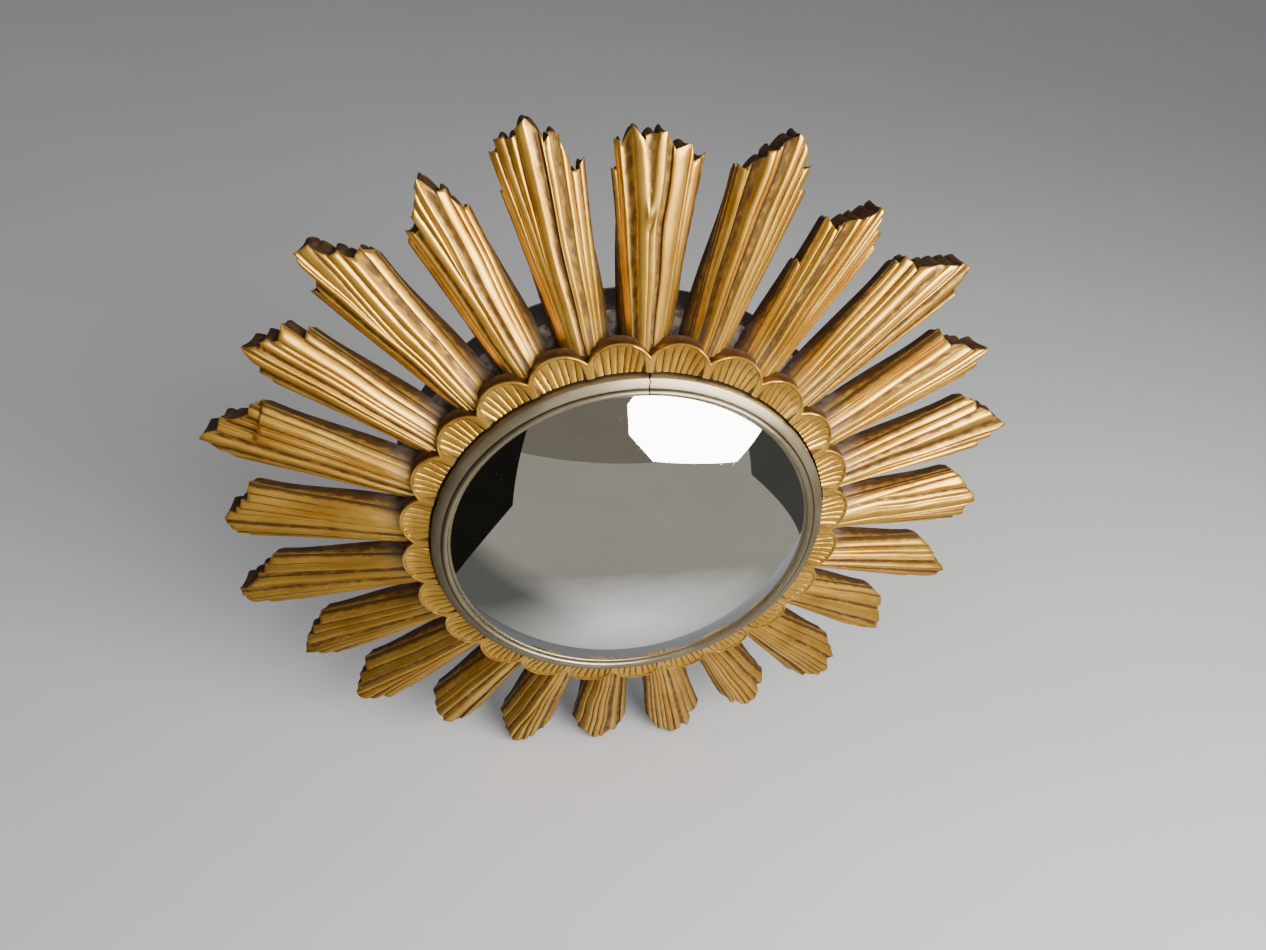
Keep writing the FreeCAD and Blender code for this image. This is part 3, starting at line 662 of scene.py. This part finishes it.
def make_bezel(material):
    """The bead, groove and band of the bezel, its two ends meeting unevenly at the top."""
    rng = random.Random(7)
    columns = 540
    close = [0.1, 0.25, 0.5]        # extra columns by the seam, which is painted dark as the shade in the split
    stops = [0] + close + list(range(1, columns)) + [columns - c for c in reversed(close)] + [columns]
    jog = [rng.uniform(-0.6, 0.6) for _ in BEZEL_FACE]
    points, masks, local = [], [], []
    for column in stops:
        for k, (r, y) in enumerate(BEZEL_FACE):
            gap = (0.45 - 0.25 * (y < -67)) / r
            near = math.exp(-min(column, columns - column) / 2.0)
            turn = gap + (2 * math.pi - 2 * gap) * column / columns + jog[k] * near / r
            lift = 0.12 * near if column < columns / 2 else 0.0
            dent = 0.05 * math.sin(turn * 5 + 1) + 0.04 * math.sin(turn * 11)
            points.append((r * math.sin(turn), y + lift + dent * (y < -66), r * math.cos(turn)))
            local.append((r, y, turn * 140))
            # Painted shade in the split at the seam.
            seam_shade = math.exp(-min(column, columns - column) / 0.25)
            # Painted shade in the groove.
            in_groove = BEZEL_GROOVE[0] < r < BEZEL_GROOVE[1] and y < BEZEL_GROOVE_FRONT
            masks.append((1.0 if in_groove else 0.0, seam_shade, 0.0))
    rows = len(BEZEL_FACE)
    faces = []
    last = len(stops) - 1
    for column in range(last):
        for row in range(rows):
            below = (row + 1) % rows
            near, far = column * rows, (column + 1) * rows
            faces.append([near + row, near + below, far + below, far + row])
    faces.append([last * rows + k for k in range(rows)])
    faces.append([k for k in reversed(range(rows))])
    piece = mesh_piece("turned_bezel", points, faces, material, masks, local, 46)
    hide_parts("bezel_ring")
    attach(piece, "frame")


def make_glass(material, backing):
    """The convex glass: a spherical front, a ground edge and a painted back."""
    low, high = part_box("mirror_glass")
    radius = high.x / MM
    apex = low.y / MM
    centre = apex + GLASS_SPHERE_R
    columns, rows = 256, 72
    profile = []
    for row in range(1, rows + 1):
        r = radius * row / rows
        profile.append((r, centre - math.sqrt(GLASS_SPHERE_R ** 2 - r * r)))
    back_r = GLASS_SPHERE_R - GLASS_THICK
    for row in range(rows, 0, -4):
        r = (radius - 0.2) * row / rows
        profile.append((r, centre - math.sqrt(back_r ** 2 - r * r)))
    points = [(0.0, apex, 0.0), (0.0, apex + GLASS_THICK, 0.0)]
    for column in range(columns):
        turn = 2 * math.pi * column / columns
        points += [(r * math.sin(turn), y, r * math.cos(turn)) for r, y in profile]
    faces, size = [], len(profile)
    for column in range(columns):
        near = 2 + column * size
        far = 2 + (column + 1) % columns * size
        faces.append([0, near, far])
        faces.append([1, far + size - 1, near + size - 1])
        for row in range(size - 1):
            faces.append([near + row, near + row + 1, far + row + 1, far + row])
    piece = mesh_piece("convex_glass", points, faces, material)
    piece.data.materials.append(backing)
    for face in piece.data.polygons:
        if face.normal.y > 0.2:
            face.material_index = 1
    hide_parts("mirror_glass")
    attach(piece, "frame")


# ---------------------------------------------------------------- materials

def add(tree, kind, inputs=None, **settings):
    """A node with its settings, and its inputs linked to a socket or set to a value."""
    node = tree.nodes.new(kind)
    for key, value in settings.items():
        setattr(node, key, value)
    for key, value in (inputs or {}).items():
        if isinstance(value, bpy.types.NodeSocket):
            tree.links.new(value, node.inputs[key])
        else:
            node.inputs[key].default_value = value
    return node


def new_material(name):
    material = bpy.data.materials.new(name)
    material.use_nodes = True
    tree = material.node_tree
    shader = next(n for n in tree.nodes if n.type == "BSDF_PRINCIPLED")
    return material, tree, shader


def mix_colour(tree, factor, a, b):
    a, b = (value if isinstance(value, bpy.types.NodeSocket) else (*value, 1.0) for value in (a, b))
    return add(tree, "ShaderNodeMix", {0: factor, 6: a, 7: b}, data_type="RGBA").outputs[2]


def math_node(tree, operation, a, b=0.0, clamp=False):
    return add(tree, "ShaderNodeMath", {0: a, 1: b}, operation=operation, use_clamp=clamp).outputs[0]


def map_range(tree, value, low, high, to_low=0.0, to_high=1.0):
    node = add(tree, "ShaderNodeMapRange", {0: value, 1: low, 2: high, 3: to_low, 4: to_high})
    return node.outputs[0]


def noise(tree, where, scale, stretch=(1, 1, 1), detail=3.0, roughness=0.55):
    """Noise with features of about 1/scale metres, longer where stretch is under 1."""
    moved = add(tree, "ShaderNodeMapping", {"Vector": where, "Scale": stretch})
    node = add(tree, "ShaderNodeTexNoise", {"Vector": moved.outputs[0], "Scale": scale, "Detail": detail,
                                            "Roughness": roughness})
    return node.outputs[0]


def bumped(tree, shader, layers):
    """Bump from (height, distance in metres, strength) layers, coarse first."""
    normal = None
    for height, distance, strength in layers:
        inputs = {"Height": height, "Distance": distance, "Strength": strength}
        if normal is not None:
            inputs["Normal"] = normal
        normal = add(tree, "ShaderNodeBump", inputs).outputs[0]
    tree.links.new(normal, shader.inputs["Normal"])


def gilt_material():
    """Old gilding: paler on the crests, as wear and painted highlight; brown in the grooves and down the
    ends, as patina and painted shade; dusty at the roots.
    """
    material, tree, shader = new_material("old_gilding")
    where = add(tree, "ShaderNodeAttribute", attribute_name="local").outputs["Vector"]
    masks = add(tree, "ShaderNodeAttribute", attribute_name="carve").outputs["Color"]
    groove, side, dust = add(tree, "ShaderNodeSeparateColor", {"Color": masks}).outputs[:3]
    streaks = noise(tree, where, 240, (1, 1, 0.04), 3)
    clouds = noise(tree, where, 45, (1, 1, 0.5), 3)
    mottle = noise(tree, where, 260, (1, 1, 0.5), 4)
    grain = noise(tree, where, 2200, (1, 1, 0.5), 2)

    gold = mix_colour(tree, map_range(tree, clouds, 0.3, 0.7), (0.60, 0.30, 0.038), (0.90, 0.54, 0.100))
    gold = mix_colour(tree, map_range(tree, streaks, 0.5, 0.75, 0.0, 0.14), gold, (0.44, 0.20, 0.025))
    # Paler gold on the crests: wear and painted highlight.
    worn_and_highlight = math_node(tree, "SUBTRACT", map_range(tree, mottle, 0.5, 0.8, 0.0, 0.3), groove, True)
    gold = mix_colour(tree, worn_and_highlight, gold, (0.93, 0.61, 0.20))
    # Dark brown in the grooves and along the long edges: patina and painted shade.
    grime_and_shade = math_node(tree, "ADD", groove, map_range(tree, mottle, 0.3, 0.8, -0.2, 0.15))
    grime_and_shade = map_range(tree, grime_and_shade, 0.18, 0.70, 0.0, 0.95)
    gold = mix_colour(tree, grime_and_shade, gold, (0.060, 0.024, 0.007))
    # Brown down the ends and sides: brown paint and painted shade.
    uneven = math_node(tree, "ADD", side, map_range(tree, mottle, 0.3, 0.7, -0.12, 0.12))
    browned_and_shaded = map_range(tree, uneven, 0.25, 0.8)
    brown = mix_colour(tree, map_range(tree, mottle, 0.35, 0.7), (0.022, 0.009, 0.003), (0.095, 0.040, 0.011))
    colour = mix_colour(tree, browned_and_shaded, gold, brown)
    dusty = math_node(tree, "MULTIPLY", dust, map_range(tree, mottle, 0.3, 0.65, 0.25, 0.9))
    colour = mix_colour(tree, dusty, colour, (0.30, 0.24, 0.20))
    tree.links.new(colour, shader.inputs["Base Color"])

    covered = math_node(tree, "MAXIMUM", math_node(tree, "MAXIMUM", math_node(tree, "MULTIPLY", grime_and_shade, 0.5),
                                                   browned_and_shaded), dusty)
    tree.links.new(map_range(tree, covered, 0.0, 1.0, 0.87, 0.1), shader.inputs["Metallic"])
    rough = math_node(tree, "ADD", map_range(tree, covered, 0.0, 1.0, 0.29, 0.70),
                      map_range(tree, mottle, 0.3, 0.7, 0.0, 0.07))
    tree.links.new(rough, shader.inputs["Roughness"])
    shader.inputs["Specular IOR Level"].default_value = 0.3
    bumped(tree, shader, [(mottle, 0.0001, 0.3), (grain, 0.00003, 0.3)])
    return material


def bezel_material():
    """Champagne paint over turned metal: pale on top, painted darker in the groove as shade, with rings from
    the lathe.
    """
    material, tree, shader = new_material("champagne_bezel")
    where = add(tree, "ShaderNodeAttribute", attribute_name="local").outputs["Vector"]
    clouds = noise(tree, where, 60, (1, 1, 0.4), 3)
    rings = noise(tree, where, 900, (1, 1, 0.004), 3)
    specks = noise(tree, where, 1500, (1, 1, 1), 2)
    colour = mix_colour(tree, map_range(tree, clouds, 0.3, 0.7), (0.30, 0.24, 0.15), (0.42, 0.36, 0.25))
    colour = mix_colour(tree, map_range(tree, rings, 0.35, 0.7, 0.0, 0.35), colour, (0.33, 0.28, 0.18))
    colour = mix_colour(tree, map_range(tree, specks, 0.68, 0.74, 0.0, 0.6), colour, (0.16, 0.12, 0.07))
    masks = add(tree, "ShaderNodeAttribute", attribute_name="carve").outputs["Color"]
    groove, seam_shade = add(tree, "ShaderNodeSeparateColor", {"Color": masks}).outputs[:2]
    # Painted shade in the groove.
    colour = mix_colour(tree, math_node(tree, "MULTIPLY", groove, 0.85), colour, (0.05, 0.04, 0.025))
    # Painted shade in the split at the seam.
    colour = mix_colour(tree, map_range(tree, seam_shade, 0.3, 0.9), colour, (0.03, 0.02, 0.012))
    tree.links.new(colour, shader.inputs["Base Color"])
    shader.inputs["Metallic"].default_value = 0.9
    tree.links.new(map_range(tree, clouds, 0.3, 0.7, 0.30, 0.42), shader.inputs["Roughness"])
    bumped(tree, shader, [(rings, 0.00008, 0.5), (specks, 0.00004, 0.4)])
    return material


def glass_material():
    """Silvered glass with a little dust and a few specks on it."""
    material, tree, shader = new_material("silvered_glass")
    where = add(tree, "ShaderNodeTexCoord").outputs["Object"]
    dust = noise(tree, where, 700, (1, 1, 1), 2)
    smears = noise(tree, where, 14, (1, 1, 1.8), 4)
    specks = add(tree, "ShaderNodeTexVoronoi", {"Vector": where, "Scale": 230.0}, feature="F1").outputs[0]
    spots = map_range(tree, specks, 0.1, 0.05)
    thin = math_node(tree, "MULTIPLY", spots, map_range(tree, noise(tree, where, 90), 0.56, 0.62))
    colour = mix_colour(tree, map_range(tree, smears, 0.35, 0.7), (0.82, 0.84, 0.84), (0.9, 0.91, 0.91))
    colour = mix_colour(tree, thin, colour, (0.55, 0.55, 0.54))
    tree.links.new(colour, shader.inputs["Base Color"])
    shader.inputs["Metallic"].default_value = 1.0
    rough = math_node(tree, "ADD", map_range(tree, smears, 0.45, 0.75, 0.006, 0.03),
                      map_range(tree, dust, 0.7, 0.76, 0.0, 0.12))
    rough = math_node(tree, "ADD", rough, math_node(tree, "MULTIPLY", thin, 0.5))
    tree.links.new(rough, shader.inputs["Roughness"])
    return material


def plain_material(name, low, high, roughness, metallic=0.0, scale=90.0, stretch=(1, 1, 1), depth=0.0002):
    """A material with two-tone variation, worn roughness and a fine surface."""
    material, tree, shader = new_material(name)
    where = add(tree, "ShaderNodeTexCoord").outputs["Object"]
    broad = noise(tree, where, scale, stretch, 5, 0.6)
    fine = noise(tree, where, scale * 12, stretch, 3)
    colour = mix_colour(tree, map_range(tree, broad, 0.32, 0.68), low, high)
    darker = tuple(0.55 * c for c in low)
    colour = mix_colour(tree, map_range(tree, fine, 0.4, 0.75, 0.0, 0.4), colour, darker)
    tree.links.new(colour, shader.inputs["Base Color"])
    shader.inputs["Metallic"].default_value = metallic
    rough = map_range(tree, broad, 0.3, 0.7, roughness - 0.08, roughness + 0.08)
    tree.links.new(rough, shader.inputs["Roughness"])
    bumped(tree, shader, [(broad, depth, 0.5), (fine, depth * 0.3, 0.4)])
    return material


def hub_material():
    """Bare sawn wood behind, dust on the ledge that shows between the rays, and brown stain with painted
    shade on the edge.
    """
    material, tree, shader = new_material("hub_wood")
    where = add(tree, "ShaderNodeTexCoord").outputs["Object"]
    facing = add(tree, "ShaderNodeNewGeometry").outputs["Normal"]
    depth = add(tree, "ShaderNodeSeparateXYZ", {"Vector": facing}).outputs[1]
    grain = noise(tree, where, 260, (0.06, 1, 1), 5, 0.65)
    pores = noise(tree, where, 1300, (0.04, 1, 1), 2)
    broad = noise(tree, where, 16, (0.3, 1, 1), 3)
    fluff = map_range(tree, noise(tree, where, 240), 0.35, 0.65)
    bare = mix_colour(tree, map_range(tree, grain, 0.35, 0.66), (0.30, 0.19, 0.10), (0.52, 0.37, 0.22))
    bare = mix_colour(tree, map_range(tree, broad, 0.35, 0.7, 0.0, 0.5), bare, (0.40, 0.26, 0.14))
    bare = mix_colour(tree, map_range(tree, pores, 0.58, 0.7, 0.0, 0.5), bare, (0.17, 0.10, 0.05))
    # The edge: brown stain and painted shade, darker than the ledge.
    stain_and_shade = mix_colour(tree, fluff, (0.028, 0.021, 0.017), (0.06, 0.045, 0.035))
    dusty = mix_colour(tree, fluff, (0.03, 0.02, 0.014), (0.15, 0.115, 0.09))
    colour = mix_colour(tree, map_range(tree, depth, -0.3, -0.8), stain_and_shade, dusty)
    colour = mix_colour(tree, map_range(tree, depth, 0.4, 0.8), colour, bare)
    tree.links.new(colour, shader.inputs["Base Color"])
    tree.links.new(map_range(tree, grain, 0.3, 0.7, 0.62, 0.85), shader.inputs["Roughness"])
    bumped(tree, shader, [(grain, 0.0003, 0.5), (pores, 0.0002, 0.4)])
    return material


def dress_cad_nodes():
    """Materials for the CAD nodes that stay as they are."""
    zinc = plain_material("zinc_screws", (0.36, 0.35, 0.32), (0.58, 0.57, 0.53), 0.42, 1.0, 900)
    brassed = plain_material("brassed_hanger", (0.38, 0.25, 0.09), (0.62, 0.46, 0.2), 0.4, 1.0, 500)
    board = plain_material("hardboard", (0.22, 0.125, 0.06), (0.33, 0.2, 0.11), 0.6, 0.0, 160, depth=0.0001)
    dowel = plain_material("beech_dowels", (0.6, 0.44, 0.27), (0.74, 0.58, 0.38), 0.7, 0.0, 300, (1, 0.1, 1))
    felt = plain_material("felt_bedding", (0.05, 0.045, 0.04), (0.11, 0.1, 0.09), 0.9, 0.0, 1500)
    chosen = {
        "backing_board": board, "backing_screws": zinc, "ray_screws": zinc,
        "ray_dowels": dowel, "glass_bedding": felt, "hanger_plate": brassed, "hanger_ring": brassed,
        "hanger_screws": brassed,
    }
    hub = hub_material()
    chosen.update({"hub_segment_%d" % k: hub for k in range(1, 9)})
    for node, material in chosen.items():
        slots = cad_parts[node].data.materials
        slots.clear()
        slots.append(material)


# ---------------------------------------------------------------- floor, light and camera

LENS = 27.577               # focal length in mm, with Blender's usual sensor, 36 mm wide
VIEW_AZIMUTH = -12.19
VIEW_ELEVATION = 38.85
VIEW_ROLL = 6.51
VIEW_DISTANCE = 0.6732
VIEW_TARGET = (-0.0029, -0.062, 0.0587)


def direction(azimuth, elevation):
    """From the mirror towards a place in front of it. Azimuth 0 is straight ahead, and positive is right."""
    a, e = math.radians(azimuth), math.radians(elevation)
    return Vector((math.sin(a) * math.cos(e), -math.cos(a) * math.cos(e), math.sin(e)))


def make_camera():
    back = direction(VIEW_AZIMUTH, VIEW_ELEVATION)
    level = Vector((math.cos(math.radians(VIEW_AZIMUTH)), math.sin(math.radians(VIEW_AZIMUTH)), 0))
    upright = back.cross(level)
    c, s = math.cos(math.radians(VIEW_ROLL)), math.sin(math.radians(VIEW_ROLL))
    right = level * c + upright * s
    up = upright * c - level * s
    camera = bpy.data.objects.new("camera", bpy.data.cameras.new("camera"))
    bpy.context.scene.collection.objects.link(camera)
    camera.data.lens = LENS
    turn = Matrix((right, up, back)).transposed().to_4x4()
    camera.matrix_world = Matrix.Translation(Vector(VIEW_TARGET) + back * VIEW_DISTANCE) @ turn
    camera.data.clip_start = 0.01
    bpy.context.scene.camera = camera


def staged_sheet(name, corners, material, seen=False):
    mesh = bpy.data.meshes.new(name)
    mesh.from_pydata([tuple(c) for c in corners], [], [list(range(len(corners)))])
    mesh.materials.append(material)
    sheet = bpy.data.objects.new(name, mesh)
    bpy.context.scene.collection.objects.link(sheet)
    sheet.visible_camera = seen
    return sheet


def glowing(name, colour, strength=1.0):
    """A material that glows in one colour, or in the tones that a function gives for places in the room."""
    material = bpy.data.materials.new(name)
    material.use_nodes = True
    tree = material.node_tree
    tree.nodes.clear()
    if callable(colour):
        colour = colour(tree, add(tree, "ShaderNodeTexCoord").outputs["Object"])
    else:
        colour = (*colour, 1.0)
    light = add(tree, "ShaderNodeEmission", {"Color": colour, "Strength": strength})
    output = add(tree, "ShaderNodeOutputMaterial")
    tree.links.new(light.outputs[0], output.inputs[0])
    return material


FLOOR_DROP = 0.002
# The room that the glass and the gold reflect, in metres about the middle of the mirror's back
ROOM_LOW, ROOM_HIGH = -1.45, 2.6
ROOM_LEFT, ROOM_RIGHT, ROOM_FAR, WALL_Y = -12.0, 16.0, -12.0, 0.02
DARK_LEFT = [(-1.0, 0.02), (-4.3, -5.0)]      # the ends of the dark walls, as x and y
DARK_RIGHT = [(1.95, 0.02), (16.0, -12.0)]
LIT_SPOT = (0.25, -0.65, -1.45)
SOFTBOX_AT, SOFTBOX_DISTANCE = (37, 30), 1.29   # azimuth, elevation and distance from the glass
SOFTBOX_TILT = -17
SOFTBOX_HALF_WIDTH, SOFTBOX_HALF_HEIGHT, SOFTBOX_CHAMFER = 0.74, 0.44, 0.28
SOFTBOX_STRENGTH = 14.0
FILL_AT, FILL_DISTANCE = (-35, 55), 1.9
FILL_SIZE, FILL_WATTS = 1.6, 7
WORLD_STRENGTH = 0.42


def make_floor():
    material, tree, shader = new_material("pale_floor")
    where = add(tree, "ShaderNodeTexCoord").outputs["Object"]
    tone = mix_colour(tree, noise(tree, where, 3), (0.51, 0.51, 0.515), (0.55, 0.55, 0.555))
    tree.links.new(tone, shader.inputs["Base Color"])
    shader.inputs["Roughness"].default_value = 0.8
    shader.inputs["Specular IOR Level"].default_value = 0.0
    level = cad_box[0].z - FLOOR_DROP
    half = 30.0
    corners = [(-half, -half, level), (half, -half, level), (half, half, level), (-half, half, level)]
    floor = staged_sheet("floor", corners, material, True)
    floor.visible_glossy = False    # the reflected floor stands for it, further below


def floor_tone(tree, where):
    """Grey-beige, lit in front of the mirror and dark to the left of that."""
    x, y = add(tree, "ShaderNodeSeparateXYZ", {"Vector": where}).outputs[:2]
    away = add(tree, "ShaderNodeVectorMath", {0: where, 1: LIT_SPOT}, operation="DISTANCE").outputs["Value"]
    away = math_node(tree, "ADD", away, map_range(tree, noise(tree, where, 3), 0.3, 0.7, -0.06, 0.06))
    tone = mix_colour(tree, map_range(tree, away, 1.3, 0.1), (0.33, 0.31, 0.26), (0.95, 0.95, 0.91))
    left = math_node(tree, "MULTIPLY", map_range(tree, x, -0.05, -0.75), map_range(tree, y, -1.6, -0.8))
    return mix_colour(tree, left, tone, (0.11, 0.11, 0.10))


def wall_tone(tree, where):
    """The wall that the mirror hangs on: grey, lit paler to the right."""
    x = add(tree, "ShaderNodeSeparateXYZ", {"Vector": where}).outputs[0]
    return mix_colour(tree, map_range(tree, x, -0.6, 0.8), (0.10, 0.10, 0.105), (0.36, 0.36, 0.37))


def make_room():
    """What the glass and the gold reflect: a grey-beige floor and far wall, dark walls at both sides, a dark
    ceiling and the wall behind. None of it is seen, or lights anything, any other way."""
    low, high, left, right, far, wall = ROOM_LOW, ROOM_HIGH, ROOM_LEFT, ROOM_RIGHT, ROOM_FAR, WALL_Y
    floor = [(left, wall, low), (right, wall, low), (right, far, low), (left, far, low)]
    behind = [(left, wall, low), (left, wall, high), (right, wall, high), (right, wall, low)]
    away = [(left, far, low), (right, far, low), (right, far, high), (left, far, high)]
    above = [(left, wall, high), (left, far, high), (right, far, high), (right, wall, high)]
    dark_left, dark_right = [[(*start, low), (*end, low), (*end, high), (*start, high)]
                             for start, end in (DARK_LEFT, DARK_RIGHT)]
    sheets = [
        staged_sheet("reflected_floor", floor, glowing("reflected_floor", floor_tone)),
        staged_sheet("wall_behind", behind, glowing("wall_behind", wall_tone)),
        staged_sheet("wall_far", away, glowing("wall_far", (0.32, 0.30, 0.25))),
        staged_sheet("ceiling", above, glowing("ceiling", (0.17, 0.15, 0.12))),
        staged_sheet("dark_right", dark_right, glowing("dark_right", (0.06, 0.057, 0.052))),
        staged_sheet("dark_left", dark_left, glowing("dark_left", (0.010, 0.009, 0.007))),
    ]
    for sheet in sheets:
        sheet.visible_diffuse = False
        sheet.visible_shadow = False


def make_softbox():
    """A softbox with cut corners to the upper right. It faces the glass, and its lower edge slopes."""
    towards = direction(*SOFTBOX_AT)
    level = direction(SOFTBOX_AT[0] + 90, 0)
    upright = towards.cross(level)
    c, s = math.cos(math.radians(SOFTBOX_TILT)), math.sin(math.radians(SOFTBOX_TILT))
    wide, tall = level * c + upright * s, upright * c - level * s
    middle = Vector((0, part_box("mirror_glass")[0].y, 0)) + towards * SOFTBOX_DISTANCE
    w, h, cut = SOFTBOX_HALF_WIDTH, SOFTBOX_HALF_HEIGHT, SOFTBOX_CHAMFER
    outline = [(-w, cut - h), (cut - w, -h), (w - cut, -h), (w, cut - h),
               (w, h - cut), (w - cut, h), (cut - w, h), (-w, h - cut)]
    corners = [middle + wide * a + tall * b for a, b in outline]
    staged_sheet("softbox", corners, glowing("softbox_white", (1.0, 0.98, 0.95), SOFTBOX_STRENGTH))


def make_lights():
    fill = bpy.data.objects.new("fill", bpy.data.lights.new("fill", "AREA"))
    bpy.context.scene.collection.objects.link(fill)
    fill.data.shape = "DISK"
    fill.data.size = FILL_SIZE
    fill.data.energy = FILL_WATTS
    fill.data.color = (1.0, 0.97, 0.93)
    back = direction(*FILL_AT)
    fill.location = back * FILL_DISTANCE
    fill.rotation_mode = "QUATERNION"
    fill.rotation_quaternion = (-back).to_track_quat("-Z", "Y")
    fill.visible_glossy = False
    world = bpy.data.worlds.new("studio")
    bpy.context.scene.world = world
    world.use_nodes = True
    background = world.node_tree.nodes["Background"]
    background.inputs[0].default_value = (0.80, 0.81, 0.83, 1.0)
    background.inputs[1].default_value = WORLD_STRENGTH


gilt = gilt_material()
make_rays(gilt)
make_collar(gilt)
make_bezel(bezel_material())
make_glass(glass_material(), plain_material("glass_backing", (0.16, 0.09, 0.06), (0.24, 0.15, 0.1), 0.7))
dress_cad_nodes()
make_floor()
make_room()
make_softbox()
make_lights()
make_camera()
